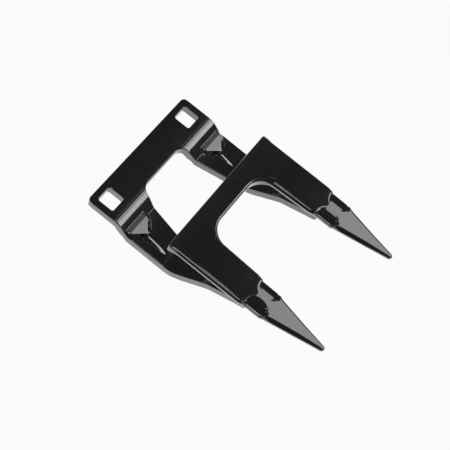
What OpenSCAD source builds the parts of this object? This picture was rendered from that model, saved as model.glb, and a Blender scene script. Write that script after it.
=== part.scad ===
// Mower knife guard: a double finger pressed from two steel plates and welded at the noses.
// Millimetres. X runs across, Y forward to the points and Z up.
// The origin is midway between the bolt holes, on the upper face of the mounting bar.

/* [Plates] */
// Thickness of the lower plate
lower_t = 6.3; // [5:0.1:8]
// Thickness of the upper plate
upper_t = 6.3; // [5:0.1:8]
// Radius that rounds the upper edges of the lower plate
lower_edge_r = 0.6; // [0.3:0.1:1.2]
// Radius that rounds the under edges of the lower plate
lower_under_r = 1.1; // [0.5:0.1:2]
// Distance between the centre lines of the two fingers, which is the pitch of the knife
finger_pitch = 76.2; // [64:0.1:92]

/* [Mounting bar] */
// Distance between the centres of the two bolt holes
bolt_pitch = 76.2; // [60:0.1:80]
// Side of each square bolt hole
bolt_square = 11; // [8:0.1:13.5]
// Width of the bar
bar_w = 96.2; // [93:0.1:116]
// From the bolt line back to the rear edge
bar_rear = 10.1; // [8:0.1:20]
// From the bolt line forward to the window
bar_front = 9.5; // [7.5:0.1:11]
// Radius of the rear corners
bar_corner_r = 3; // [0.5:0.1:7]

/* [Legs] */
// Width of the window between the legs, at the bar
window_w = 40.4; // [30:0.1:46]
// Width of the window at the front of the belly
window_front_w = 56.4; // [50:0.1:60]
// Radius of the window's rear corners
window_r = 6; // [2:0.1:9]
// Where the joggle begins to bend down
joggle_start = 12.2; // [11.5:0.1:13]
// Where the joggle becomes steeper
joggle_steep = 15.4; // [15:0.1:16]
// How far the upper face has dropped there
steep_drop = 1.56; // [1:0.01:2]
// Where the foot of the joggle is
joggle_foot = 18.4; // [18:0.1:19.5]
// How far the upper face has dropped at the foot
foot_drop = 4; // [3:0.05:4.1]
// Radius of the bend at the top of the joggle
joggle_r = 9; // [7:0.1:10]
// Radius of the bend at the foot of the joggle
foot_r = 2.5; // [1:0.1:3]
// Where the belly is lowest
belly_y = 53.9; // [52:0.1:57]
// How far the upper face has dropped there
belly_drop = 7.3; // [7.2:0.05:8.4]
// Radius of the bend under the belly
belly_r = 24; // [10:0.5:26]
// Where the climb ends and the lower finger begins
climb_end = 75.5; // [73:0.1:80]
// Height of the lower finger's upper face at that place
climb_top = 5.3; // [3:0.1:7]
// Radius of the bends along the lower finger
climb_r = 12; // [5:0.5:16]

/* [Ridge on each leg] */
// Where the flat triangle that leads into the ridge begins
lead_start = 21.6; // [20.5:0.1:23]
// How far the upper face has dropped there
lead_drop = 4.15; // [4.1:0.05:4.6]
// Half width of that triangle where it begins
lead_half = 8.5; // [5:0.1:11]
// Where the triangle comes to its point
lead_end = 29; // [26:0.1:34]
// Place at the front of the ridge
crest_y = 44; // [40:0.1:45.5]
// How far the ridge has dropped there
crest_drop = 7.05; // [6.6:0.05:7.1]
// How far the leg beside the triangle has dropped
side_drop = 5.65; // [4.8:0.05:6.2]
// How far the leg beside the ridge has dropped where the ridge dies out
side_end_drop = 7.25; // [7:0.05:7.6]
// Where the ridge dies out
ridge_end = 50; // [46:0.1:52]
// Width of the ridge's sloping flank
ridge_flank = 6; // [3:0.1:8]

/* [Lower fingers] */
// Width of the lower finger where the climb ends
lower_root_w = 14; // [12:0.1:17]
// Width of the lower finger at its shoulder
lower_end_w = 9.2; // [7:0.1:11]
// Where the shoulder is
shoulder_y = 99.6; // [97:0.1:104]
// Height of the upper face at the shoulder
shoulder_top = 11; // [10:0.1:13]
// Radius that rounds the shoulder
shoulder_r = 2; // [1:0.1:2.4]
// Width of the tongue that is welded under the nose
tongue_w = 4.2; // [3.2:0.1:5]
// Thickness of the tongue at its end
tongue_t = 3.4; // [2.4:0.1:4.2]
// Where the tongue first lies against the nose
tongue_seat = 117; // [113:0.1:120]
// Centre of the tongue's round end
tongue_end = 126.5; // [123:0.1:130]
// Size of the weld bead around the tongue
weld_leg = 1.8; // [1:0.1:2.2]

/* [Upper plate] */
// Height of its upper face above the mounting face
lip_top = 21.7; // [21.4:0.1:28]
// Width across the two fingers
lip_w = 98.2; // [94:0.1:118]
// Where its rear edge is
lip_rear = 44.9; // [40:0.1:50]
// Where the gap between the fingers begins
gap_rear = 58.3; // [54:0.1:64]
// Radius of the corners of that gap
gap_r = 11.8; // [4:0.1:12]
// From the finger's centre line to its inner edge, at the root
finger_root_in = 12.5; // [10.5:0.1:13]
// From the finger's centre line to its inner edge, before the neck
finger_front_in = 11.3; // [9.5:0.1:11.5]
// Radius of the rear corners
lip_corner_r = 1.7; // [0.5:0.1:6]
// Radius that rounds the upper edges
upper_edge_r = 1.4; // [0.5:0.1:2.5]
// Radius that rounds the under edges
under_edge_r = 0.9; // [0.3:0.1:2]

/* [Necks and noses] */
// Where the finger begins to draw in
neck_rear = 95; // [92:0.1:98]
// Where the neck is full
neck_y = 102; // [100:0.1:104]
// Width of the neck
neck_w = 18.4; // [14:0.1:19.5]
// Where the neck ends and the nose begins to taper
neck_front = 110.5; // [108:0.1:112]
// Where the point is
tip_y = 151; // [142:0.1:180]
// Width just behind the point
tip_w = 3.4; // [1.6:0.1:4]
// Thickness just behind the point
tip_t = 3; // [2:0.1:4.5]
// How far the nose's upper face falls to the point
tip_fall = 1.1; // [0.5:0.1:2.5]
// Where the under face begins to rise to the point
tip_rise_y = 134; // [132:0.1:139]
// Where the nose's upper face begins to fall
crease_y = 101.7; // [98:0.1:104]
// Radius that rounds the nose's upper flanks
flank_r = 1.6; // [1.4:0.1:3.4]
// Radius that rounds the nose's under flanks
under_flank_r = 2.2; // [0.9:0.1:2.4]
// Where the dents at the neck are deepest
dent_y = 106.3; // [105.5:0.1:107]
// Reach of each dent in from the side of the neck
dent_across = 9; // [5:0.1:9]
// Reach of each dent forward and back
dent_along = 7.5; // [5:0.1:7.6]
// Depth of each dent at the side of the neck
dent_depth = 1.5; // [1:0.1:3]
// Depth of the step at each dent's rim
dent_step = 0.25; // [0:0.05:0.6]
// Half width of the crown that is left between the dents
dent_crown = 1.5; // [0.5:0.1:4]

/* [Hidden] */
$fn = 96;

finger_x = finger_pitch / 2;
lip_under = lip_top - upper_t;
// Steps in a bend, angles of the stations in a window or gap corner, a rear corner and a round end
ARC_STEPS = 6;
CORNER_ANGLES = [0:15:90];
REAR_ANGLES = [0:30:90];
END_ANGLES = [25:25:75];
// Columns across a leg and across a finger
LEG_COLUMNS = 14;
FINGER_COLUMNS = 14;
// Columns at which the bolt hole begins and ends
HOLE_COLUMNS = [5, 10];
// Columns in a rounded edge, as shares of its radius
EDGE_SHARES = [0, 0.12, 0.5, 1];
// Most of a strip's width that one rounded edge may take
EDGE_STRIP_SHARE = 0.4;
// Most of the metal behind a bolt hole that a rear corner may take
CORNER_SHARE = 0.9;
// Largest rounding, as shares of half the width and of the thickness
EDGE_WIDTH_SHARE = 0.8;
UPPER_T_SHARE = 0.55;
UNDER_T_SHARE = 0.4;
// Radius of the two small bends, as a share of the bends next to them
SMALL_BEND_SHARE = 0.5;
// Part of the ridge's flank over which it starts beside the triangle
FLANK_START_SHARE = 0.25;
// Width of a dent's rim, as a share of the dent, and how square the dent is
RIM_SHARE = 0.16;
DENT_POWER = 3;
// Length over which the lower plate's rounded edges fade out before the tongue
EDGE_FADE = 6;
// Length of the step from the shoulder to the tongue
SHOULDER_STEP = 0.04;
// Half the length over which a slope is measured
SLOPE_SPAN = 0.05;
PAINT = "#1b1c1e";
WELD = "#242527";

function unit(v) = v / norm(v);
function mix(a, b, t) = a + (b - a) * t;
// How far an arc of radius r has dropped at a distance from its start
function arc_left(r, left) = r - sqrt(max(0, r * r - left * left));
// Drop of an edge rounded with radius r, at distance d from the edge
function edge_drop(d, r) = arc_left(r, max(0, r - d));
// Places from a to b, without a itself
function steps(a, b, count) = [for (i = [1:count]) mix(a, b, i / count)];
function clamp01(t) = min(1, max(0, t));
// Smooth step from 0 at a to 1 at b
function ease(a, b, y) = let (t = clamp01((y - a) / (b - a))) t * t * (3 - 2 * t);

// A corner b between a and c, turned with radius r
function turn(a, b, c, r) =
    let (u = unit(a - b), v = unit(c - b))
    let (half = acos(u * v) / 2)
    let (centre = b + unit(u + v) * r / sin(half))
    let (from = b + u * r / tan(half) - centre)
    let (to = b + v * r / tan(half) - centre)
    let (sweep = 180 - 2 * half)
    [for (i = [0:ARC_STEPS]) let (s = sweep * i / ARC_STEPS)
        centre + (from * sin(sweep - s) + to * sin(s)) / sin(sweep)];

// An open path from corners [y, z, radius], whose two ends are sharp
function bent_path(corners) =
    let (n = len(corners))
    let (flat = [for (k = corners) [k.x, k.y]])
    [flat[0], for (i = [1:n - 2]) each turn(flat[i - 1], flat[i], flat[i + 1], corners[i].z), flat[n - 1]];

// The lower plate's upper face along the ridge, seen from the side
leg_path = bent_path([
    [bar_front, 0, 0],
    [joggle_start, 0, joggle_r],
    [joggle_steep, -steep_drop, SMALL_BEND_SHARE * foot_r],
    [joggle_foot, -foot_drop, foot_r],
    [lead_start, -lead_drop, foot_r],
    [crest_y, -crest_drop, climb_r],
    [belly_y, -belly_drop, belly_r],
    [climb_end, climb_top, climb_r],
    [shoulder_y, shoulder_top, climb_r],
    [tongue_seat, lip_under, SMALL_BEND_SHARE * climb_r],
    [tongue_end + tongue_w, lip_under, 0]]);
function leg_line(y) = lookup(y, leg_path);
function leg_up(y) =
    unit([0, leg_line(y - SLOPE_SPAN) - leg_line(y + SLOPE_SPAN), 2 * SLOPE_SPAN]);
function leg_t(y) = lookup(y, [[shoulder_y, lower_t], [tongue_seat, tongue_t]]);

// The window's rear corner: where it ends, and how far it reaches in from the leg's straight edge
window_front = bar_front + window_r;
function window_corner(y) = arc_left(window_r, min(window_r, max(0, window_front - y)));
// Width of the lower finger, with its rounded shoulder, and of the tongue with its round end
function lower_finger_w(y) =
    y < shoulder_y
        ? lookup(y, [[climb_end, lower_root_w], [shoulder_y, lower_end_w]])
        : y < shoulder_y + shoulder_r
            ? let (past = y - shoulder_y)
                lower_end_w - 2 * (shoulder_r - sqrt(shoulder_r * shoulder_r - past * past))
            : tongue_w;
function tongue_half(y) =
    y < tongue_end ? lower_finger_w(y) / 2 : sqrt(max(0, pow(tongue_w / 2, 2) - pow(y - tongue_end, 2)));
function leg_in(y) =
    y < climb_end
        ? lookup(y, [
            [window_front, window_w / 2],
            [belly_y, window_front_w / 2],
            [climb_end, finger_x - lower_root_w / 2]]) - window_corner(y)
        : finger_x - tongue_half(y);
function leg_out(y) =
    y < climb_end
        ? lookup(y, [[belly_y, bar_w / 2], [climb_end, finger_x + lower_root_w / 2]])
        : finger_x + tongue_half(y);

// How far a point of the leg lies below the ridge line: nothing on the lead-in triangle,
// then the ridge's flank, and nothing again where the ridge has died out
function ridge_fall(x, y) =
    let (off = abs(x - (leg_in(y) + leg_out(y)) / 2))
    let (flat_half = lead_half * (1 - clamp01((y - lead_start) / (lead_end - lead_start))))
    let (side = lookup(y, [[lead_start, -side_drop], [ridge_end, -side_end_drop]]))
    y <= lead_start || y >= ridge_end
        ? 0
        : max(0, leg_line(y) - side) * ease(0, ridge_flank, off - flat_half)
            * ease(lead_start, lead_start + FLANK_START_SHARE * ridge_flank, y);

// Places across the right half of the plate, from the window side to the outer side, close together
// in the rounded edges. In the bar two of them are the edges of the bolt hole.
edge_columns = len(EDGE_SHARES) - 1;
hole_in = (bolt_pitch - bolt_square) / 2;
hole_out = (bolt_pitch + bolt_square) / 2;
function across(y) =
    let (from = leg_in(max(y, bar_front)), to = y < bar_front ? bar_out(y) : leg_out(y))
    let (strip = to - (y < bar_front ? hole_out : from))
    let (span = min(lower_under_r, EDGE_STRIP_SHARE * strip))
    let (outer = [for (k = [0:edge_columns]) [LEG_COLUMNS - k, to - EDGE_SHARES[k] * span]])
    let (inner = y < bar_front
        ? [[0, from], [HOLE_COLUMNS[0], hole_in], [HOLE_COLUMNS[1], hole_out]]
        : [for (k = [0:edge_columns]) [k, from + EDGE_SHARES[k] * span]])
    [for (i = [0:LEG_COLUMNS]) lookup(i, concat(inner, outer))];

// The side of the bar, with its rounded rear corner
corner_r = min(bar_corner_r, CORNER_SHARE * (bar_rear - bolt_square / 2));
function bar_out(y) =
    let (left = max(0, corner_r - bar_rear - y))
    bar_w / 2 - corner_r + sqrt(corner_r * corner_r - left * left);

// Distance from a point of the lower plate to the window, and to its nearest edge
function window_distance(x, y) =
    y >= window_front
        ? x - leg_in(y)
        : x <= window_w / 2 - window_r
            ? bar_front - y
            : norm([x - window_w / 2 + window_r, y - window_front]) - window_r;
function lower_distance(x, y) =
    max(0, min(window_distance(x, y), (y < bar_front ? bar_out(y) : leg_out(y)) - x, y + bar_rear));

// Stations along the plate: close together in the corners, the bends and the round end
bar_corner = [for (a = REAR_ANGLES) -bar_rear + corner_r * (1 - cos(a))];
bar_stations = concat(
    bar_corner,
    [-bolt_square / 2, bolt_square / 2],
    [for (k = [edge_columns:-1:1]) bar_front - EDGE_SHARES[k] * lower_under_r]);
leg_stations = concat(
    [for (a = CORNER_ANGLES) bar_front + window_r * (1 - cos(a))],
    steps(window_front, lead_start, 7),
    steps(lead_start, lead_end, 8),
    steps(lead_end, ridge_end, 8),
    steps(ridge_end, climb_end, 7),
    steps(climb_end, shoulder_y, 4),
    [for (a = END_ANGLES) shoulder_y + shoulder_r * sin(a)],
    [shoulder_y + shoulder_r + SHOULDER_STEP],
    steps(shoulder_y + shoulder_r, tongue_end, 5),
    [for (a = END_ANGLES) tongue_end + tongue_w / 2 * sin(a)]);

// One row of points on the upper or the under face, from the left side to the right
function lower_normal(y) = y < bar_front ? [0, 0, 1] : leg_up(y);
function lower_row(y, upper) =
    let (share = 1 - ease(shoulder_y - EDGE_FADE, shoulder_y, y))
    let (half = [for (x = across(y))
        let (d = lower_distance(x, y))
        let (face = [x, y, y < bar_front ? 0 : leg_line(y) - ridge_fall(x, y)])
        upper
            ? face - [0, 0, edge_drop(d, share * lower_edge_r)]
            : face - leg_t(y) * lower_normal(y) + [0, 0, edge_drop(d, share * lower_under_r)]])
    concat([for (i = [LEG_COLUMNS:-1:0]) [-half[i].x, half[i].y, half[i].z]], half);

// Which cells between the rows and columns are plate: not the bolt holes and not the window
function is_plate(row, column) =
    let (half_column = column > LEG_COLUMNS ? column - LEG_COLUMNS - 1 : LEG_COLUMNS - 1 - column)
    column == LEG_COLUMNS
        ? row < len(bar_stations)
        : row != len(bar_corner) || half_column < HOLE_COLUMNS[0] || half_column >= HOLE_COLUMNS[1];

// A plate of the given cells, between two grids of points
module sheet(upper, lower, solid) {
    rows = len(upper);
    columns = len(upper[0]);
    under = rows * columns;
    function at(i, j) = i * columns + j;
    function full(i, j) = i >= 0 && j >= 0 && i < rows - 1 && j < columns - 1 && solid[i][j];
    function quad(a, b, c, d) = [[a, b, c], [a, c, d]];
    function wall(a, b) = quad(a, b, under + b, under + a);
    faces = [for (i = [0:rows - 2], j = [0:columns - 2]) if (full(i, j))
        let (a = at(i, j), b = at(i, j + 1), c = at(i + 1, j + 1), d = at(i + 1, j))
        each concat(
            quad(d, c, b, a),
            quad(under + a, under + b, under + c, under + d),
            full(i - 1, j) ? [] : wall(a, b),
            full(i, j + 1) ? [] : wall(b, c),
            full(i + 1, j) ? [] : wall(c, d),
            full(i, j - 1) ? [] : wall(d, a))];
    polyhedron(concat([for (row = upper) each row], [for (row = lower) each row]), faces);
}

module lower_plate() {
    stations = concat(bar_stations, leg_stations);
    upper = [for (y = stations) lower_row(y, true)];
    lower = [for (y = stations) lower_row(y, false)];
    solid = [for (i = [0:len(stations) - 2]) [for (j = [0:2 * LEG_COLUMNS]) is_plate(i, j)]];
    color(PAINT) sheet(upper, lower, solid);
}

// Share of the full section that is left in the round point
point_y = tip_y - tip_w / 2;
function point(y) = let (past = max(0, y - point_y) / (tip_w / 2)) sqrt(max(0, 1 - past * past));
function nose_half(y) = lookup(y, [[neck_front, neck_w / 2], [point_y, tip_w / 2]]) * point(y);

// Edges of a finger, from the corner of the gap to the point
gap_front = gap_rear + gap_r;
finger_root = finger_x - finger_root_in;
function finger_in(y) =
    let (plate = lookup(y, [[gap_front, finger_root_in], [neck_rear, finger_front_in]]))
    let (corner = arc_left(gap_r, min(gap_r, max(0, gap_front - y))))
    finger_x - mix(plate + corner, nose_half(y), ease(neck_rear, neck_y, y));
function finger_out(y) =
    let (corner = arc_left(lip_corner_r, max(0, lip_rear + lip_corner_r - y)))
    finger_x + mix(lip_w / 2 - finger_x - corner, nose_half(y), ease(neck_rear, neck_y, y));

// Distance from a point of the upper plate to the gap between the fingers, and to its nearest edge
function gap_distance(x, y) =
    y >= gap_front
        ? x - finger_in(y)
        : x <= finger_root - gap_r
            ? gap_rear - y
            : norm([x - finger_root + gap_r, y - gap_front]) - gap_r;
function edge_distance(x, y) = max(0, min(gap_distance(x, y), finger_out(y) - x, y - lip_rear));

dent_front = dent_y + dent_along;
// Depth of the dents on both sides of a neck: a step at the rim, then a curve down to the side
dent_curve = (dent_depth - dent_step) / pow(neck_w / 2 - dent_crown, 2);
function dent_fall(x, y) =
    let (off = abs(x - finger_x))
    let (across = abs(off - neck_w / 2) / dent_across, along = abs(y - dent_y) / dent_along)
    let (reach = pow(pow(across, DENT_POWER) + pow(along, DENT_POWER), 1 / DENT_POWER))
    (dent_step + dent_curve * pow(max(0, off - dent_crown), 2)) * (1 - ease(1 - RIM_SHARE, 1, reach));

// Upper and under faces before their edges are rounded
nose_slope = tip_fall / (tip_y - crease_y);
tip_under = lip_top - tip_fall - tip_t;
function upper_face(x, y) =
    lip_top - nose_slope * max(0, y - crease_y) - dent_fall(x, y) - tip_t / 2 * (1 - point(y));
function under_face(y) =
    lookup(y, [[tip_rise_y, lip_under], [tip_y, tip_under]]) + tip_t / 2 * (1 - point(y));

// Edge radii, which shrink to suit the neck and the nose
function nose_limit(y, share) =
    y < neck_rear
        ? upper_t
        : min(EDGE_WIDTH_SHARE * nose_half(y), share * (upper_face(finger_out(y), y) - under_face(y)));
function over_r(y) =
    min(mix(upper_edge_r, flank_r, ease(dent_y, dent_front, y)), nose_limit(y, UPPER_T_SHARE));
function below_r(y) =
    min(mix(under_edge_r, under_flank_r, ease(neck_rear, dent_y, y)), nose_limit(y, UNDER_T_SHARE));

// Places across one half of the upper plate, close together in the rounded edges
inner_columns = FINGER_COLUMNS - 2 * edge_columns;
function finger_across(y) =
    let (from = finger_in(max(y, gap_rear)), to = finger_out(y), r = over_r(y))
    concat(
        [for (share = EDGE_SHARES) from + share * r],
        steps(from + r, to - r, inner_columns),
        [for (i = [edge_columns - 1:-1:0]) to - EDGE_SHARES[i] * r]);
function upper_row(y, upper) =
    let (half = [for (x = finger_across(y)) let (d = edge_distance(x, y))
        [x, y, upper ? upper_face(x, y) - edge_drop(d, over_r(y)) : under_face(y) + edge_drop(d, below_r(y))]])
    concat([for (i = [FINGER_COLUMNS:-1:0]) [-half[i].x, half[i].y, half[i].z]], half);

// Stations along the upper plate
cross_stations = concat(
    [for (share = EDGE_SHARES) lip_rear + share * upper_edge_r],
    [(lip_rear + gap_rear) / 2],
    [for (i = [edge_columns:-1:1]) gap_rear - EDGE_SHARES[i] * upper_edge_r]);
finger_stations = concat(
    [for (a = CORNER_ANGLES) gap_rear + gap_r * (1 - cos(a))],
    steps(gap_front, neck_rear, 3),
    steps(neck_rear, dent_front, 19),
    steps(dent_front, tip_rise_y, 6),
    steps(tip_rise_y, point_y, 5),
    [for (a = END_ANGLES) point_y + tip_w / 2 * sin(a)]);

module upper_plate() {
    stations = concat(cross_stations, finger_stations);
    upper = [for (y = stations) upper_row(y, true)];
    lower = [for (y = stations) upper_row(y, false)];
    solid = [for (i = [0:len(stations) - 2]) [for (j = [0:2 * FINGER_COLUMNS])
        j != FINGER_COLUMNS || i < len(cross_stations)]];
    color(PAINT) sheet(upper, lower, solid);
}

// The weld bead that runs along both sides of a tongue and round its end
module nose_weld() {
    bead_len = tongue_end - tongue_seat - weld_leg;
    color(WELD)
        translate([finger_x, tongue_end, lip_under]) {
            rotate_extrude(angle = 180)
                translate([tongue_w / 2, 0]) bead_section();
            for (side = [0, 1])
                mirror([side, 0, 0])
                    rotate([90, 0, 0])
                        linear_extrude(bead_len)
                            translate([tongue_w / 2, 0]) bead_section();
        }
}

module bead_section() {
    intersection() {
        circle(weld_leg);
        translate([0, -weld_leg]) square(weld_leg);
    }
}

module right_nose_weld() {
    nose_weld();
}

module left_nose_weld() {
    mirror([1, 0, 0]) nose_weld();
}

lower_plate();
upper_plate();
left_nose_weld();
right_nose_weld();
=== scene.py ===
import math

import bpy
from mathutils import Matrix, Vector


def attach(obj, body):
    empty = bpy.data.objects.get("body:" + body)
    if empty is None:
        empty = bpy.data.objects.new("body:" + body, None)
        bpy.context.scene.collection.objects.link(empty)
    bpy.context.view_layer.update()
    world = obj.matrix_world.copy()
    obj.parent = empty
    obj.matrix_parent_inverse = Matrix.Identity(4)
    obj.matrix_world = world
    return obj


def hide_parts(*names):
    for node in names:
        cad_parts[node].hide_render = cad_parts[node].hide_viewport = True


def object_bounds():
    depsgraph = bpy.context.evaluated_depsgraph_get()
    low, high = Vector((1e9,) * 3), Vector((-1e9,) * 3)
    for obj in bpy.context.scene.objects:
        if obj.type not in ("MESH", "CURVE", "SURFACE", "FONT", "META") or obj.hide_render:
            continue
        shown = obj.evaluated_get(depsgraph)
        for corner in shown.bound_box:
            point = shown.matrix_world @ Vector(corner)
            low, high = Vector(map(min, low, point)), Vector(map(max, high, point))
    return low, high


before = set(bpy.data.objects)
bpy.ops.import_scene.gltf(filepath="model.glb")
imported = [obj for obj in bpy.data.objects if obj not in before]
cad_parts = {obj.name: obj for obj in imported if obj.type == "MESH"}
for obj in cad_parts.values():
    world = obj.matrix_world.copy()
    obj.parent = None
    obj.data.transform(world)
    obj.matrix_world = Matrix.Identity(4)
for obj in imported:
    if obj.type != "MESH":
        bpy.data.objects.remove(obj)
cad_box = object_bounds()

# A mower knife guard: two pressed steel plates, welded at the noses and painted gloss black.
# Sizes below are in millimetres, in the part's own frame: X across, Y forward, Z up from the bar.
MM = 0.001

# Lower plate: mounting bar, bolt holes and the window between the legs
LOWER_T = 6.3
FINGER_X = 38.1
BOLT_X = 38.1
BOLT_SQUARE = 11.0
BAR_HALF = 48.1
BAR_REAR = -10.1
BAR_FRONT = 9.5
BAR_CORNER_R = 3.0
WINDOW_HALF = 20.2
WINDOW_FRONT_HALF = 28.2
WINDOW_R = 6.0

# Side profile of a leg: places along Y, with drops below the bar's upper face and tops above it
JOGGLE_START = 12.2
JOGGLE_STEEP = 15.4
STEEP_DROP = 1.56
JOGGLE_FOOT = 18.4
FOOT_DROP = 4.0
LEAD_START = 21.6
LEAD_DROP = 4.02
CREST_Y = 29.0
CREST_DROP = 5.85
BELLY_Y = 53.9
BELLY_DROP = 7.14
CLIMB_END = 75.5
CLIMB_TOP = 5.3

# Bends of that profile
START_BEND_R = 9.0
STEEP_BEND_R = 2.0
FOOT_BEND_R = 0.2
LEAD_BEND_R = 0.4
CREST_BEND_R = 4.0
BELLY_BEND_R = 24.0
CLIMB_BEND_R = 12.0
SEAT_BEND_R = 6.0
PATH_RUN_OUT = 5.0

# Ridge of a leg, its lead-in triangle and the fall at the leg's edges
RIDGE_BASE_DROP = 6.4
RIDGE_END_DROP = 6.9
LEAD_FLANK = 3.0
RIDGE_FLANK = 4.0
RIDGE_END_FLANK = 3.2
LEAD_HALF = 9.0
LEAD_END = 29.0
RIDGE_END = 50.0
FLANK_RUN_IN = 1.2
CREST_BLEND = 2.0
EDGE_FALL = (7.5, 10.0)
EDGE_FOOT = 21.4
EDGE_FALL_END = 38.0

# Lower finger, its tongue and the weld bead round the tongue
LOWER_ROOT_HALF = 7.0
LOWER_END_HALF = 4.6
SHOULDER_Y = 99.6
SHOULDER_TOP = 11.0
SHOULDER_R = 2.0
TONGUE_HALF = 2.1
TONGUE_T = 3.4
TONGUE_SEAT = 117.0
TONGUE_END = 126.5
WELD_LEG = 1.8
WELD_BITE = 0.5
RIPPLE_LENGTH = 0.9
RIPPLE_DEPTH = 0.07

# Upper plate: cross bar, fingers and the gap between them
UPPER_T = 6.3
LIP_TOP = 21.7
LIP_UNDER = LIP_TOP - UPPER_T
LIP_HALF = 49.1
LIP_REAR = 44.9
LIP_CORNER_R = 1.7
GAP_REAR = 58.3
GAP_R = 11.8
ROOT_IN = 12.5
FRONT_IN = 11.3

# Neck and nose
NECK_REAR = 95.0
NECK_Y = 102.0
NECK_FRONT = 110.5
NECK_HALF = 9.6
TIP_Y = 151.0
TIP_HALF = 1.9
TIP_T = 3.0
TIP_FALL = 1.4
TIP_RISE_Y = 134.0
CREASE_Y = 101.7

# Thumb dents in the sides of a neck
DENT_Y = 106.3
DENT_ACROSS = 9.0
DENT_ALONG = 7.5
DENT_STEP = 0.09
DENT_DEPTH = 1.5
DENT_CROWN = 1.5
DENT_RIM = 0.84
DENT_AHEAD = 6.2
DENT_SQUARENESS = 3.0

# Size of the edges, upper side then under side
LOWER_EDGE_R = (0.6, 1.1)
HOLE_EDGE_R = (0.5, 0.5)
TONGUE_EDGE_R = (0.4, 0.7)
UPPER_EDGE_R = (1.4, 0.9)
SIDE_EDGE_R = (2.2, 4.3)
NOSE_EDGE_R = (2.4, 4.1)
MOST_OF_THICKNESS = (0.4, 0.65)

# Size of the necks' upper edges, of the noses' edges near the point and of the bolt holes' corners
NECK_EDGE_R = 0.7
MOST_OF_NOSE = 0.75
LEAST_EDGE = 0.02
HOLE_CORNER_R = 1.3

# Where an edge changes its form, along Y
TONGUE_EDGE_SPAN = (SHOULDER_Y - 6.0, SHOULDER_Y + 1.0)
OUTER_BEVEL_SPAN = (LIP_REAR + 1.0, LIP_REAR + 8.0)
GAP_BEVEL_SPAN = (GAP_REAR, GAP_REAR + GAP_R)
NECK_EDGE_SPAN = (NECK_REAR + 2.0, NECK_Y)
NOSE_BEVEL_SPAN = (DENT_Y + 3.0, DENT_Y + DENT_ALONG + 3.0)
NOSE_UNDER_SPAN = (NECK_REAR, DENT_Y)

# A bevelled edge: the share of its width that is round, how far that turns, and the bevel's slope
BEVEL_ROUND_SHARE = 0.55
BEVEL_ROUND_TURN = math.radians(30.0)
BEVEL_TURN = math.radians(56.0)

# Mesh columns across half a plate, with those that span a bolt hole
LOWER_COLUMNS = 60
HOLE_SPAN = (28, 52)
UPPER_COLUMNS = 30

# Mesh rows along Y
WIDE_ROW = 1.4
PLAIN_ROW = 1.2
TONGUE_ROW = 1.0
RIDGE_ROW = 0.6
NECK_ROW = 0.4
LEG_ROW = 0.25
CRISP_ROW = 0.08
CRISP_REACH = 0.2
PAST_ROUND = 1.02
HOLE_CORNER_STEPS = 3

# Turn in degrees between mesh rows on a rounded corner, and turns of the rows on a rounded end
BAR_CORNER_TURN = 18
WINDOW_TURN = 10
LIP_CORNER_TURN = 22
GAP_TURN = 6
SHOULDER_TURNS = (0, 20, 40, 60, 80)
TONGUE_TURNS = (0, 20, 40, 58, 74)
TIP_TURNS = (0, 18, 36, 52, 64, 75)

# Mesh steps over the edges and the weld beads
EDGE_STEPS = 6
LOWER_STRIP_STEPS = 1
UPPER_STRIP_STEPS = 6
EDGE_MARGIN = 0.3
FULL_MARGIN_EDGE = 2.0
SHARP_CORNER_LIMIT = 0.35
RELAX_ROUNDS = 40
BEAD_STEP = 0.3
BEAD_TURN_STEPS = 24
BEAD_ARC_STEPS = 6

# How near a point counts as on a bolt hole's edge, and as on its corner
NEAR = 0.1
TOUCH = 0.001

# Camera, solved from the photograph's edges
CAMERA_AT = Vector((353.62, 101.04, 643.51))
CAMERA_AIM = Vector((4.45, 60.98, 0.0))
CAMERA_ROLL = math.radians(32.752)
CAMERA_LENS = 98.207
SENSOR = 36.0


def mix(a, b, t):
    """From a at t = 0 to b at t = 1."""
    return a + (b - a) * t


def ease(a, b, y):
    """Smooth step from 0 at a to 1 at b."""
    t = min(1.0, max(0.0, (y - a) / (b - a)))
    return t * t * (3.0 - 2.0 * t)


def stops(y, table):
    """Straight runs through (place, value) stops, level beyond both ends."""
    if y <= table[0][0]:
        return table[0][1]
    for (y0, v0), (y1, v1) in zip(table, table[1:]):
        if y <= y1:
            return mix(v0, v1, (y - y0) / (y1 - y0))
    return table[-1][1]


def steps(a, b, spacing):
    """Evenly spaced places from a up to but not including b."""
    n = max(1, round((b - a) / spacing))
    return [mix(a, b, i / n) for i in range(n)]


def bent_path(corners, turn_steps=10):
    """A side profile through corners (y, z, radius), with each bend an arc."""
    points = [Vector(c[:2]) for c in corners]
    path = [points[0]]
    for before, here, after, corner in zip(points, points[1:], points[2:], corners[1:]):
        u = (before - here).normalized()
        v = (after - here).normalized()
        half = u.angle(v) / 2.0
        centre = here + (u + v).normalized() * corner[2] / math.sin(half)
        first = here + u * corner[2] / math.tan(half) - centre
        last = here + v * corner[2] / math.tan(half) - centre
        sweep = math.pi - 2.0 * half
        for i in range(turn_steps + 1):
            s = sweep * i / turn_steps
            path.append(centre + (first * math.sin(sweep - s) + last * math.sin(s)) / math.sin(sweep))
    path.append(points[-1])
    return path


def under_path(path, thickness):
    """The under side of a bent plate, square to its upper side."""
    out = []
    for i, p in enumerate(path):
        along = (path[min(i + 1, len(path) - 1)] - path[max(i - 1, 0)]).normalized()
        out.append(p - Vector((-along.y, along.x)) * thickness(p.x))
    return out


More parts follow.
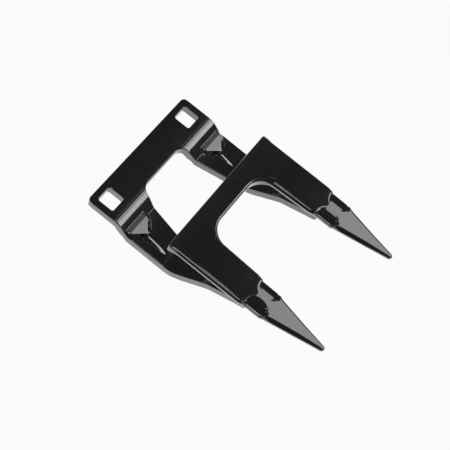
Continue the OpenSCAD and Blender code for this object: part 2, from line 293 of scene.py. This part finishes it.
# Side profile of a leg along its ridge
LEG_PATH = bent_path([
    (BAR_REAR - PATH_RUN_OUT, 0.0, 0.0),
    (JOGGLE_START, 0.0, START_BEND_R),
    (JOGGLE_STEEP, -STEEP_DROP, STEEP_BEND_R),
    (JOGGLE_FOOT, -FOOT_DROP, FOOT_BEND_R),
    (LEAD_START, -LEAD_DROP, LEAD_BEND_R),
    (CREST_Y, -CREST_DROP, CREST_BEND_R),
    (BELLY_Y, -BELLY_DROP, BELLY_BEND_R),
    (CLIMB_END, CLIMB_TOP, CLIMB_BEND_R),
    (SHOULDER_Y, SHOULDER_TOP, CLIMB_BEND_R),
    (TONGUE_SEAT, LIP_UNDER, SEAT_BEND_R),
    (TONGUE_END + PATH_RUN_OUT, LIP_UNDER, 0.0)])


def leg_thickness(y):
    """Full plate up to the shoulder, then thinner to the tongue."""
    return stops(y, [(SHOULDER_Y, LOWER_T), (TONGUE_SEAT, TONGUE_T)])


LEG_TOP_LINE = [tuple(p) for p in LEG_PATH]
LEG_UNDER_LINE = sorted(tuple(p) for p in under_path(LEG_PATH, leg_thickness))


def leg_in(y):
    """Inner edge of a leg, with the window's rounded corner at the bar."""
    if y > CLIMB_END:
        return FINGER_X - lower_finger_half(y)
    straight = stops(y, [
        (BAR_FRONT + WINDOW_R, WINDOW_HALF), (BELLY_Y, WINDOW_FRONT_HALF),
        (CLIMB_END, FINGER_X - LOWER_ROOT_HALF)])
    left = min(WINDOW_R, max(0.0, BAR_FRONT + WINDOW_R - y))
    return straight - WINDOW_R + math.sqrt(WINDOW_R ** 2 - left ** 2)


def leg_out(y):
    """Outer edge of the bar and of a leg, with the bar's rounded rear corner."""
    if y > CLIMB_END:
        return FINGER_X + lower_finger_half(y)
    left = max(0.0, BAR_CORNER_R + BAR_REAR - y)
    corner = BAR_CORNER_R - math.sqrt(max(0.0, BAR_CORNER_R ** 2 - left ** 2))
    return stops(y, [(BELLY_Y, BAR_HALF), (CLIMB_END, FINGER_X + LOWER_ROOT_HALF)]) - corner


def lower_finger_half(y):
    """Half width of a lower finger, its round shoulder and the tongue with its round end."""
    if y <= SHOULDER_Y:
        return stops(y, [(CLIMB_END, LOWER_ROOT_HALF), (SHOULDER_Y, LOWER_END_HALF)])
    past = y - SHOULDER_Y
    if past < SHOULDER_R:
        return LOWER_END_HALF - SHOULDER_R + math.sqrt(SHOULDER_R ** 2 - past ** 2)
    end = max(0.0, y - TONGUE_END)
    return math.sqrt(max(0.0, TONGUE_HALF ** 2 - end ** 2))


def ridge_fall(x, y):
    """How far a leg lies below its ridge.

    The lead-in triangle is level with the ridge and the flanks fall away beside both. At the leg's
    edges the joggle runs on down to the foot of the flanks.
    """
    if y <= JOGGLE_FOOT or y >= RIDGE_END:
        return 0.0
    off = abs(abs(x) - FINGER_X)
    flat = LEAD_HALF * max(0.0, 1.0 - (y - LEAD_START) / (LEAD_END - LEAD_START))
    base = stops(y, [(LEAD_START, -RIDGE_BASE_DROP), (RIDGE_END, -RIDGE_END_DROP)])
    height = max(0.0, stops(y, LEG_TOP_LINE) - base)
    flank = stops(y, [(LEAD_START, LEAD_FLANK), (LEAD_END, RIDGE_FLANK), (RIDGE_END, RIDGE_END_FLANK)])
    down = min(1.0, max(0.0, (off - flat) / flank))
    start = min(1.0, max(0.0, (y - LEAD_START) / FLANK_RUN_IN))
    beside = mix(down, down * down, ease(LEAD_END - CREST_BLEND, LEAD_END + CREST_BLEND, y)) * start
    at_edge = ease(*EDGE_FALL, off) * min(1.0, (y - JOGGLE_FOOT) / (EDGE_FOOT - JOGGLE_FOOT))
    return height * mix(max(beside, at_edge), beside, ease(LEAD_END, EDGE_FALL_END, y))


def lower_top(x, y):
    """Height of the lower plate's upper face."""
    return stops(y, LEG_TOP_LINE) - ridge_fall(x, y)


def lower_under(x, y):
    """Height of the lower plate's under face."""
    return stops(y, LEG_UNDER_LINE) - ridge_fall(x, y)


def lower_edge_r(x, y):
    """Size of the lower plate's upper and under edges, none of them bevelled."""
    hole = BOLT_SQUARE / 2.0 + NEAR
    if abs(y) < hole and abs(abs(x) - BOLT_X) < hole:
        return *HOLE_EDGE_R, 0.0
    tongue = ease(*TONGUE_EDGE_SPAN, y)
    over = mix(LOWER_EDGE_R[0], TONGUE_EDGE_R[0], tongue)
    under = mix(LOWER_EDGE_R[1], TONGUE_EDGE_R[1], tongue)
    return over, under, 0.0


def finger_half_in(y):
    """From the finger's centre line to its inner edge, with the gap's rounded rear corner."""
    left = min(GAP_R, max(0.0, GAP_REAR + GAP_R - y))
    corner = GAP_R - math.sqrt(max(0.0, GAP_R ** 2 - left ** 2))
    return stops(y, [(GAP_REAR + GAP_R, ROOT_IN), (NECK_REAR, FRONT_IN)]) + corner


def nose_half(y):
    """Half width of the neck and the nose, down to the rounded point."""
    round_y = TIP_Y - TIP_HALF
    past = min(TIP_HALF, max(0.0, y - round_y))
    straight = stops(y, [(NECK_FRONT, NECK_HALF), (round_y, TIP_HALF)])
    return straight * math.sqrt(max(0.0, 1.0 - (past / TIP_HALF) ** 2))


def upper_in(y):
    """Inner edge of an upper finger, its neck and its nose."""
    blend = ease(NECK_REAR, NECK_Y, y)
    return FINGER_X - mix(finger_half_in(y), nose_half(y), blend)


def upper_out(y):
    """Outer edge of the upper plate, with its small rear corner."""
    left = max(0.0, LIP_CORNER_R + LIP_REAR - y)
    corner = LIP_CORNER_R - math.sqrt(max(0.0, LIP_CORNER_R ** 2 - left ** 2))
    blend = ease(NECK_REAR, NECK_Y, y)
    return FINGER_X + mix(LIP_HALF - FINGER_X - corner, nose_half(y), blend)


def dent_fall(x, y):
    """Depth of the dents pressed into both sides of a neck: a rim, then a curve down to the edge."""
    off = abs(abs(x) - FINGER_X)
    across = abs(off - NECK_HALF) / DENT_ACROSS
    along = (DENT_Y - y) / DENT_ALONG if y < DENT_Y else (y - DENT_Y) / DENT_AHEAD
    reach = (across ** DENT_SQUARENESS + along ** DENT_SQUARENESS) ** (1.0 / DENT_SQUARENESS)
    step = stops(y, [(CREASE_Y, DENT_STEP), (DENT_Y + DENT_AHEAD, 0.0)])
    depth = mix(step, DENT_DEPTH, (max(0.0, off - DENT_CROWN) / (NECK_HALF - DENT_CROWN)) ** 2)
    return depth * (1.0 - ease(DENT_RIM, 1.0, reach))


def nose_face(y):
    """Height of the upper face before the dents: level, then a facet that falls to the point."""
    return LIP_TOP - TIP_FALL * max(0.0, y - CREASE_Y) / (TIP_Y - CREASE_Y)


def point_share(y):
    """Share of the thickness that the rounded point still has."""
    past = min(TIP_HALF, max(0.0, y - (TIP_Y - TIP_HALF)))
    return math.sqrt(max(0.0, 1.0 - (past / TIP_HALF) ** 2))


def upper_top(x, y):
    """Height of the upper plate's upper face."""
    return nose_face(y) - dent_fall(x, y) - TIP_T / 2.0 * (1.0 - point_share(y))


def upper_under(x, y):
    """Height of the upper plate's under face, which rises to the thin point."""
    tip_under = LIP_TOP - TIP_FALL - TIP_T
    base = stops(y, [(TIP_RISE_Y, LIP_UNDER), (TIP_Y, tip_under)])
    return base + TIP_T / 2.0 * (1.0 - point_share(y))


def upper_edge_r(x, y):
    """Size of the upper plate's upper and under edges, and how far the upper one is a bevel."""
    neck = ease(*NECK_EDGE_SPAN, y)
    nose = ease(*NOSE_BEVEL_SPAN, y)
    outer = abs(x) > FINGER_X + NECK_HALF
    side = ease(*(OUTER_BEVEL_SPAN if outer else GAP_BEVEL_SPAN), y)
    over = mix(mix(mix(UPPER_EDGE_R[0], SIDE_EDGE_R[0], side), NECK_EDGE_R, neck), NOSE_EDGE_R[0], nose)
    under = mix(mix(UPPER_EDGE_R[1], SIDE_EDGE_R[1], side), NOSE_EDGE_R[1], ease(*NOSE_UNDER_SPAN, y))
    bevel = max(side * (1.0 - neck), nose)
    if y < NECK_REAR:
        return over, under, bevel
    thick = upper_top(x, y) - upper_under(x, y)
    wide = MOST_OF_NOSE * nose_half(y) + LEAST_EDGE
    over = min(over, wide, MOST_OF_THICKNESS[0] * thick)
    under = min(under, wide, MOST_OF_THICKNESS[1] * thick)
    return over, under, bevel


def edge_profile(bevel):
    """Set-in and drop along an edge of unit size, from a quarter round to a round shoulder and a bevel."""
    profile = []
    radius = BEVEL_ROUND_SHARE / math.sin(BEVEL_ROUND_TURN)
    for k in range(EDGE_STEPS + 1):
        a = math.pi / 2.0 * k / EDGE_STEPS
        share = 2.0 * k / EDGE_STEPS
        turn = BEVEL_ROUND_TURN * min(1.0, share)
        slide = (1.0 - BEVEL_ROUND_SHARE) * max(0.0, share - 1.0)
        set_in = 1.0 - radius * math.sin(turn) - slide
        drop = radius * (1.0 - math.cos(turn)) + slide * math.tan(BEVEL_TURN)
        profile.append((mix(1.0 - math.sin(a), set_in, bevel), mix(1.0 - math.cos(a), drop, bevel)))
    return profile


def mirrored(half):
    """A row from the left side to the right: the mirror image of its right half, then that half."""
    return [(-x, y) for x, y in reversed(half)] + half


def across_row(y, inner, outer, columns):
    """Evenly spaced plan points of a row, from its inner place to its outer one, and their mirror image."""
    return mirrored([(mix(inner, outer, j / columns), y) for j in range(columns + 1)])


def corner_rows(start, radius, turn):
    """Rows along a rounded corner, a turn of so many degrees apart and closest at its start."""
    return [start + radius * (1.0 - math.cos(math.radians(a))) for a in range(0, 90, turn)]


def end_rows(start, radius, turns):
    """Rows along a rounded end, at the given turns in degrees."""
    return [start + radius * math.sin(math.radians(a)) for a in turns]


def border_of(cells):
    """Next border point after each border point, with the plate on the left."""
    follow = {}
    for i, j in cells:
        sides = (
            ((i - 1, j), (i, j), (i, j + 1)),
            ((i, j + 1), (i, j + 1), (i + 1, j + 1)),
            ((i + 1, j), (i + 1, j + 1), (i + 1, j)),
            ((i, j - 1), (i + 1, j), (i, j)))
        for beside, start, end in sides:
            if beside not in cells:
                follow[start] = end
    return follow


def inward(before, here, after):
    """Direction in plan that sets both border runs in by the same amount."""
    first = (here - before).normalized()
    second = (after - here).normalized()
    n1 = Vector((-first.y, first.x))
    n2 = Vector((-second.y, second.x))
    return (n1 + n2) / max(SHARP_CORNER_LIMIT, 1.0 + n1.dot(n2))


def spread(plan, fixed):
    """Lays the inner plan points of each row evenly between that row's border points."""
    for (i, first), (row, last) in zip(sorted(fixed), sorted(fixed)[1:]):
        for j in range(first + 1, last):
            if row == i and (i, j) in plan:
                plan[i, j] = plan[i, first].lerp(plan[i, last], (j - first) / (last - first))


def relax(plan, cells, fixed, rounds):
    """Spaces the inner plan points evenly between the set-in border."""
    beside = {}
    for i, j in cells:
        ring = [(i, j), (i, j + 1), (i + 1, j + 1), (i + 1, j)]
        for k in range(4):
            beside.setdefault(ring[k], set()).update((ring[k - 1], ring[(k + 1) % 4]))
    order = [(key, sorted(near)) for key, near in sorted(beside.items()) if key not in fixed]
    for _ in range(rounds):
        moved = {key: sum((plan[n] for n in near), Vector((0.0, 0.0))) / len(near) for key, near in order}
        plan.update(moved)


def pressed_plate(name, grid, cells, top, under, edge_r, strip_steps):
    """A plate over the given cells of the grid, with rounded or bevelled edges."""
    used = {c for i, j in cells for c in ((i, j), (i, j + 1), (i + 1, j + 1), (i + 1, j))}
    edge = {key: Vector(grid[key[0]][key[1]]) for key in used}
    follow = border_of(cells)
    before = {end: start for start, end in follow.items()}
    plan = dict(edge)
    aim = {}
    for key in follow:
        aim[key] = inward(edge[before[key]], edge[key], edge[follow[key]])
        widest = max(edge_r(*edge[key])[:2])
        plan[key] = edge[key] + aim[key] * (widest + EDGE_MARGIN * min(1.0, widest / FULL_MARGIN_EDGE))
    spread(plan, set(follow))
    relax(plan, cells, set(follow), RELAX_ROUNDS)

    verts = []

    def vert(p, z):
        verts.append((p.x * MM, p.y * MM, z * MM))
        return len(verts) - 1

    upper = {}
    lower = {}
    chain = {}
    for key in sorted(used):
        if key not in follow:
            p = plan[key]
            upper[key] = vert(p, top(p.x, p.y))
            lower[key] = vert(p, under(p.x, p.y))
            continue
        over_r, under_r, bevel = edge_r(*edge[key])
        shoulder = edge[key] + aim[key] * over_r
        strip = [plan[key].lerp(shoulder, s / strip_steps) for s in range(strip_steps)]
        over = [vert(p, top(p.x, p.y)) for p in strip]
        below = [vert(plan[key], under(*plan[key]))]
        for set_in, drop in edge_profile(bevel):
            p = edge[key] + aim[key] * over_r * set_in
            over.append(vert(p, top(p.x, p.y) - over_r * drop))
        for set_in, drop in edge_profile(0.0):
            p = edge[key] + aim[key] * under_r * set_in
            below.append(vert(p, under(p.x, p.y) + under_r * drop))
        chain[key] = over + below[::-1]
        upper[key] = over[0]
        lower[key] = below[0]
    faces = []
    for i, j in sorted(cells):
        ring = ((i, j), (i, j + 1), (i + 1, j + 1), (i + 1, j))
        faces.append([upper[c] for c in ring])
        faces.append([lower[c] for c in reversed(ring)])
    for start, end in sorted(follow.items()):
        u = chain[start]
        v = chain[end]
        for k in range(len(u) - 1):
            faces.append([u[k + 1], v[k + 1], v[k], u[k]])
    return mesh_piece(name, verts, faces)


def mesh_piece(name, verts, faces):
    """A smooth-shaded piece whose broad faces keep flat reflections."""
    mesh = bpy.data.meshes.new(name)
    mesh.from_pydata(verts, [], faces)
    mesh.validate()
    mesh.polygons.foreach_set("use_smooth", [True] * len(mesh.polygons))
    mesh.update()
    piece = bpy.data.objects.new(name, mesh)
    bpy.context.scene.collection.objects.link(piece)
    even = piece.modifiers.new("Even normals", "WEIGHTED_NORMAL")
    even.mode = "FACE_AREA"
    even.weight = 60
    return piece


def round_hole(x, y):
    """Moves a point from a bolt hole's square corner onto its small round."""
    side = BOLT_SQUARE / 2.0
    flat = side - HOLE_CORNER_R
    past = Vector((abs(x - BOLT_X) - flat, abs(y) - flat))
    if min(past) <= 0.0 or max(past) > HOLE_CORNER_R + TOUCH:
        return x, y
    on_arc = past.normalized() * HOLE_CORNER_R
    return BOLT_X + math.copysign(flat + on_arc.x, x - BOLT_X), math.copysign(flat + on_arc.y, y)


def bar_row(y):
    """Plan points across the mounting bar, with columns along the sides of the bolt holes."""
    hole = BOLT_SQUARE / 2.0
    places = [
        (0, leg_in(BAR_FRONT)),
        (HOLE_SPAN[0], BOLT_X - hole),
        (HOLE_SPAN[1], BOLT_X + hole),
        (LOWER_COLUMNS, leg_out(y))]
    return mirrored([round_hole(stops(j, places), y) for j in range(LOWER_COLUMNS + 1)])


def lower_pressing():
    """The mounting bar with its bolt holes, the ridged legs, the lower fingers and the tongues."""
    hole = BOLT_SQUARE / 2.0
    hole_end = [hole - HOLE_CORNER_R * k / HOLE_CORNER_STEPS for k in range(HOLE_CORNER_STEPS + 1)]
    hole_middle = steps(-hole_end[-1], hole_end[-1], WIDE_ROW)[1:]
    bar_rows = (
        corner_rows(BAR_REAR, BAR_CORNER_R, BAR_CORNER_TURN)
        + [-y for y in hole_end]
        + hole_middle
        + hole_end[::-1]
        + steps(hole, BAR_FRONT, PLAIN_ROW)[1:])
    lead_rows_end = LEAD_END + 1.0
    leg_rows = (
        corner_rows(BAR_FRONT, WINDOW_R, WINDOW_TURN)
        + steps(BAR_FRONT + WINDOW_R, JOGGLE_FOOT - CRISP_REACH, LEG_ROW)
        + steps(JOGGLE_FOOT - CRISP_REACH, JOGGLE_FOOT + CRISP_REACH, CRISP_ROW)
        + steps(JOGGLE_FOOT + CRISP_REACH, EDGE_FOOT - CRISP_REACH, LEG_ROW)
        + steps(EDGE_FOOT - CRISP_REACH, EDGE_FOOT + CRISP_REACH, CRISP_ROW)
        + steps(EDGE_FOOT + CRISP_REACH, lead_rows_end, LEG_ROW)
        + steps(lead_rows_end, RIDGE_END, RIDGE_ROW)
        + steps(RIDGE_END, SHOULDER_Y, PLAIN_ROW)
        + end_rows(SHOULDER_Y, SHOULDER_R, SHOULDER_TURNS)
        + steps(SHOULDER_Y + SHOULDER_R * PAST_ROUND, TONGUE_END, TONGUE_ROW)
        + end_rows(TONGUE_END, TONGUE_HALF, TONGUE_TURNS))
    grid = [bar_row(y) for y in bar_rows]
    grid += [across_row(y, leg_in(y), leg_out(y), LOWER_COLUMNS) for y in leg_rows]
    first_hole = bar_rows.index(-hole)
    last_hole = bar_rows.index(hole)
    cells = set()
    for i in range(len(grid) - 1):
        for j in range(2 * LOWER_COLUMNS + 1):
            across = j - LOWER_COLUMNS - 1 if j > LOWER_COLUMNS else LOWER_COLUMNS - 1 - j
            if j == LOWER_COLUMNS:
                solid = i < len(bar_rows)
            else:
                solid = not (first_hole <= i < last_hole and HOLE_SPAN[0] <= across < HOLE_SPAN[1])
            if solid:
                cells.add((i, j))
    return pressed_plate(
        "lower_pressing", grid, cells, lower_top, lower_under, lower_edge_r, LOWER_STRIP_STEPS)


def upper_pressing():
    """The cross bar, the upper fingers, their necks with thumb dents and the pointed noses."""
    lip_corner = corner_rows(LIP_REAR, LIP_CORNER_R, LIP_CORNER_TURN)
    bar_rows = lip_corner + steps(LIP_REAR + LIP_CORNER_R, GAP_REAR, PLAIN_ROW)
    finger_rows = (
        corner_rows(GAP_REAR, GAP_R, GAP_TURN)
        + steps(GAP_REAR + GAP_R, NECK_REAR, WIDE_ROW)
        + steps(NECK_REAR, DENT_Y + DENT_AHEAD, NECK_ROW)
        + steps(DENT_Y + DENT_AHEAD, TIP_Y - TIP_HALF, PLAIN_ROW)
        + end_rows(TIP_Y - TIP_HALF, TIP_HALF, TIP_TURNS))
    bar_in = upper_in(GAP_REAR)
    grid = [across_row(y, bar_in, upper_out(y), UPPER_COLUMNS) for y in bar_rows]
    grid += [across_row(y, upper_in(y), upper_out(y), UPPER_COLUMNS) for y in finger_rows]
    cells = {
        (i, j) for i in range(len(grid) - 1) for j in range(2 * UPPER_COLUMNS + 1)
        if j != UPPER_COLUMNS or i < len(bar_rows)}
    return pressed_plate(
        "upper_pressing", grid, cells, upper_top, upper_under, upper_edge_r, UPPER_STRIP_STEPS)


def weld_bead(name, side):
    """A rippled bead along both sides of a tongue and round its end."""
    length = TONGUE_END - TONGUE_SEAT - WELD_LEG
    path = []
    for y in steps(-length, 0.0, BEAD_STEP):
        path.append((Vector((TONGUE_HALF, y)), Vector((1.0, 0.0))))
    for i in range(BEAD_TURN_STEPS + 1):
        a = math.pi * i / BEAD_TURN_STEPS
        out = Vector((math.cos(a), math.sin(a)))
        path.append((out * TONGUE_HALF, out))
    for y in steps(-length, 0.0, BEAD_STEP)[::-1]:
        path.append((Vector((-TONGUE_HALF, y)), Vector((-1.0, 0.0))))
    verts = []
    faces = []
    run = 0.0
    for i, (p, out) in enumerate(path):
        run += (p - path[i - 1][0]).length if i else 0.0
        wave = math.cos(2.0 * math.pi * run / RIPPLE_LENGTH)
        leg = WELD_LEG * (1.0 - RIPPLE_DEPTH * (1.0 - wave))
        rim = [(-WELD_BITE, WELD_BITE), (leg, WELD_BITE)]
        for k in range(BEAD_ARC_STEPS + 1):
            a = math.pi / 2.0 * k / BEAD_ARC_STEPS
            rim.append((leg * math.cos(a), -leg * math.sin(a)))
        rim.append((-WELD_BITE, -leg))
        for along, z in rim:
            q = p + out * along
            verts.append((side * (FINGER_X + q.x) * MM, (TONGUE_END + q.y) * MM, (LIP_UNDER + z) * MM))
    ring = len(verts) // len(path)
    for i in range(len(path) - 1):
        for k in range(ring):
            a = i * ring + k
            b = i * ring + (k + 1) % ring
            faces.append([a, b, b + ring, a + ring][::side])
    faces.append(list(range(ring))[::-side])
    faces.append(list(range((len(path) - 1) * ring, len(path) * ring))[::side])
    return mesh_piece(name, verts, faces)


def node(tree, kind, **inputs):
    """A new node with the given values on its inputs, whose names have spaces for underscores."""
    made = tree.nodes.new(kind)
    for key, value in inputs.items():
        made.inputs[key.replace("_", " ")].default_value = value
    return made


def paint_surface_group():
    """Orange peel, fine dust and handling marks of sprayed gloss paint."""
    group = bpy.data.node_groups.new("Sprayed paint", "ShaderNodeTree")
    face = group.interface
    for label, usual in (("Peel Scale", 900.0), ("Dust Scale", 2600.0), ("Smooth", 0.2), ("Dull", 0.34)):
        face.new_socket(label, in_out="INPUT", socket_type="NodeSocketFloat").default_value = usual
    face.new_socket("Colour", in_out="INPUT", socket_type="NodeSocketColor")
    face.new_socket("Dust Colour", in_out="INPUT", socket_type="NodeSocketColor")
    face.new_socket("Colour", in_out="OUTPUT", socket_type="NodeSocketColor")
    face.new_socket("Roughness", in_out="OUTPUT", socket_type="NodeSocketFloat")
    face.new_socket("Height", in_out="OUTPUT", socket_type="NodeSocketFloat")
    given = group.nodes.new("NodeGroupInput")
    result = group.nodes.new("NodeGroupOutput")
    place = group.nodes.new("ShaderNodeTexCoord")
    link = group.links.new

    peel = node(group, "ShaderNodeTexNoise", Detail=2.0, Roughness=0.5)
    link(place.outputs["Object"], peel.inputs["Vector"])
    link(given.outputs["Peel Scale"], peel.inputs["Scale"])
    link(peel.outputs["Fac"], result.inputs["Height"])

    haze = node(group, "ShaderNodeTexNoise", Scale=45.0, Detail=4.0, Roughness=0.6)
    link(place.outputs["Object"], haze.inputs["Vector"])
    marks = node(group, "ShaderNodeMapRange", From_Min=0.35, From_Max=0.68)
    link(haze.outputs["Fac"], marks.inputs["Value"])
    link(given.outputs["Smooth"], marks.inputs["To Min"])
    link(given.outputs["Dull"], marks.inputs["To Max"])
    link(marks.outputs["Result"], result.inputs["Roughness"])

    dust = node(group, "ShaderNodeTexNoise", Detail=3.0, Roughness=0.7)
    link(place.outputs["Object"], dust.inputs["Vector"])
    link(given.outputs["Dust Scale"], dust.inputs["Scale"])
    speck = node(group, "ShaderNodeMapRange", From_Min=0.66, From_Max=0.8)
    link(dust.outputs["Fac"], speck.inputs["Value"])
    blend = group.nodes.new("ShaderNodeMix")
    blend.data_type = "RGBA"
    link(speck.outputs["Result"], blend.inputs["Factor"])
    link(given.outputs["Colour"], blend.inputs["A"])
    link(given.outputs["Dust Colour"], blend.inputs["B"])
    link(blend.outputs["Result"], result.inputs["Colour"])
    return group


def gloss_paint(name, group, colour, dust_colour, smooth, dull, peel_height):
    """Black gloss paint under a clear coat, with the sprayed surface of the group."""
    material = bpy.data.materials.new(name)
    material.use_nodes = True
    tree = material.node_tree
    shader = tree.nodes["Principled BSDF"]
    shader.inputs["Coat Weight"].default_value = 1.0
    shader.inputs["Coat Roughness"].default_value = 0.04
    shader.inputs["IOR"].default_value = 1.7
    shader.inputs["Coat IOR"].default_value = 1.7
    surface = tree.nodes.new("ShaderNodeGroup")
    surface.node_tree = group
    surface.inputs["Smooth"].default_value = smooth
    surface.inputs["Dull"].default_value = dull
    surface.inputs["Colour"].default_value = (*colour, 1.0)
    surface.inputs["Dust Colour"].default_value = (*dust_colour, 1.0)
    bump = node(tree, "ShaderNodeBump", Strength=0.05, Distance=peel_height)
    tree.links.new(surface.outputs["Height"], bump.inputs["Height"])
    tree.links.new(surface.outputs["Colour"], shader.inputs["Base Color"])
    tree.links.new(surface.outputs["Roughness"], shader.inputs["Roughness"])
    tree.links.new(bump.outputs["Normal"], shader.inputs["Normal"])
    return material


def white_floor():
    """A pale floor that reads as white and still takes the guard's shadow."""
    white_share = 0.95
    reach = 3.0
    material = bpy.data.materials.new("white_floor")
    material.use_nodes = True
    tree = material.node_tree
    shader = tree.nodes["Principled BSDF"]
    shader.inputs["Base Color"].default_value = (0.86, 0.86, 0.86, 1.0)
    shader.inputs["Roughness"].default_value = 0.9
    shader.inputs["Specular IOR Level"].default_value = 0.0
    seen = tree.nodes.new("ShaderNodeLightPath")
    glossy = tree.nodes.new("ShaderNodeMath")
    glossy.operation = "MAXIMUM"
    clear = tree.nodes.new("ShaderNodeMath")
    clear.operation = "MAXIMUM"
    share = tree.nodes.new("ShaderNodeMath")
    share.operation = "MULTIPLY"
    share.inputs[1].default_value = white_share
    glow = tree.nodes.new("ShaderNodeEmission")
    both = tree.nodes.new("ShaderNodeMixShader")
    link = tree.links.new
    link(seen.outputs["Is Camera Ray"], glossy.inputs[0])
    link(seen.outputs["Is Glossy Ray"], glossy.inputs[1])
    link(glossy.outputs[0], clear.inputs[0])
    link(seen.outputs["Is Transmission Ray"], clear.inputs[1])
    link(clear.outputs[0], share.inputs[0])
    link(share.outputs[0], both.inputs["Fac"])
    link(shader.outputs["BSDF"], both.inputs[1])
    link(glow.outputs["Emission"], both.inputs[2])
    link(both.outputs["Shader"], tree.nodes["Material Output"].inputs["Surface"])
    corners = [(-reach, -reach, 0.0), (reach, -reach, 0.0), (reach, reach, 0.0), (-reach, reach, 0.0)]
    mesh = bpy.data.meshes.new("floor")
    mesh.from_pydata(corners, [], [[0, 1, 2, 3]])
    floor = bpy.data.objects.new("floor", mesh)
    floor.location.z = cad_box[0][2]
    floor.data.materials.append(material)
    bpy.context.scene.collection.objects.link(floor)


def studio_world():
    """A dim room, a little paler in front of the points."""
    toward_wall = (-0.35, 0.937, 0.0)
    world = bpy.data.worlds.new("studio")
    bpy.context.scene.world = world
    world.use_nodes = True
    tree = world.node_tree
    place = tree.nodes.new("ShaderNodeTexCoord")
    facing = tree.nodes.new("ShaderNodeVectorMath")
    facing.operation = "DOT_PRODUCT"
    facing.inputs[1].default_value = toward_wall
    wall = node(tree, "ShaderNodeMapRange", From_Min=0.6, From_Max=0.85, To_Min=0.07, To_Max=0.1)
    tree.nodes["Background"].inputs["Color"].default_value = (1.0, 1.0, 1.0, 1.0)
    tree.links.new(place.outputs["Generated"], facing.inputs[0])
    tree.links.new(facing.outputs["Value"], wall.inputs["Value"])
    tree.links.new(wall.outputs["Result"], tree.nodes["Background"].inputs["Strength"])


def softbox(name, left, right, rear, front, radiance, height=2.0):
    """A level area lamp over the given stretch of floor, of the same brightness whatever its size."""
    lamp = bpy.data.lights.new(name, "AREA")
    lamp.shape = "RECTANGLE"
    lamp.size = right - left
    lamp.size_y = front - rear
    lamp.energy = radiance * math.pi * lamp.size * lamp.size_y
    holder = bpy.data.objects.new(name, lamp)
    holder.location = ((left + right) / 2.0, (rear + front) / 2.0, height)
    bpy.context.scene.collection.objects.link(holder)


def photo_camera():
    """The camera as solved from the photograph."""
    lens = bpy.data.cameras.new("photo_camera")
    lens.lens = CAMERA_LENS
    lens.sensor_width = SENSOR
    lens.clip_start = 0.01
    camera = bpy.data.objects.new("photo_camera", lens)
    look = (CAMERA_AIM - CAMERA_AT).to_track_quat("-Z", "Y").to_matrix()
    turned = look @ Matrix.Rotation(CAMERA_ROLL, 3, "Z")
    camera.matrix_world = Matrix.Translation(CAMERA_AT * MM) @ turned.to_4x4()
    bpy.context.scene.collection.objects.link(camera)
    bpy.context.scene.camera = camera


sprayed = paint_surface_group()
dust_grey = (0.02, 0.02, 0.021)
black_paint = gloss_paint(
    "black_paint", sprayed, colour=(0.006, 0.006, 0.0062), dust_colour=dust_grey,
    smooth=0.08, dull=0.12, peel_height=0.000006)
weld_paint = gloss_paint(
    "painted_weld", sprayed, colour=(0.008, 0.008, 0.0083), dust_colour=dust_grey,
    smooth=0.12, dull=0.18, peel_height=0.00003)

pieces = [
    (lower_pressing(), "lower_plate", "black_paint", black_paint),
    (upper_pressing(), "upper_plate", "black_paint", black_paint),
    (weld_bead("left_weld_bead", -1), "left_nose_weld", "painted_weld", weld_paint),
    (weld_bead("right_weld_bead", 1), "right_nose_weld", "painted_weld", weld_paint)]
for piece, stands_for, slot, material in pieces:
    piece.data.materials.append(material)
    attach(piece, "root")
    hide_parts(stands_for)

white_floor()
studio_world()

# Lamps over the floor: left, right, rear and front in metres, then brightness
softbox("front_softbox", -1.9, -0.862, 0.16, 0.9, 1.75)
softbox("far_softbox", -2.1, -0.862, 0.9, 2.2, 3.0)
softbox("rear_strip", -1.9, -0.862, -0.25, -0.16, 0.45)
softbox("small_lamp", -0.6, -0.38, -0.03, 0.05, 4.2)
softbox("side_strip", 0.45, 2.2, -0.25, 0.35, 2.5)
photo_camera()
bpy.context.scene.view_settings.view_transform = "Standard"
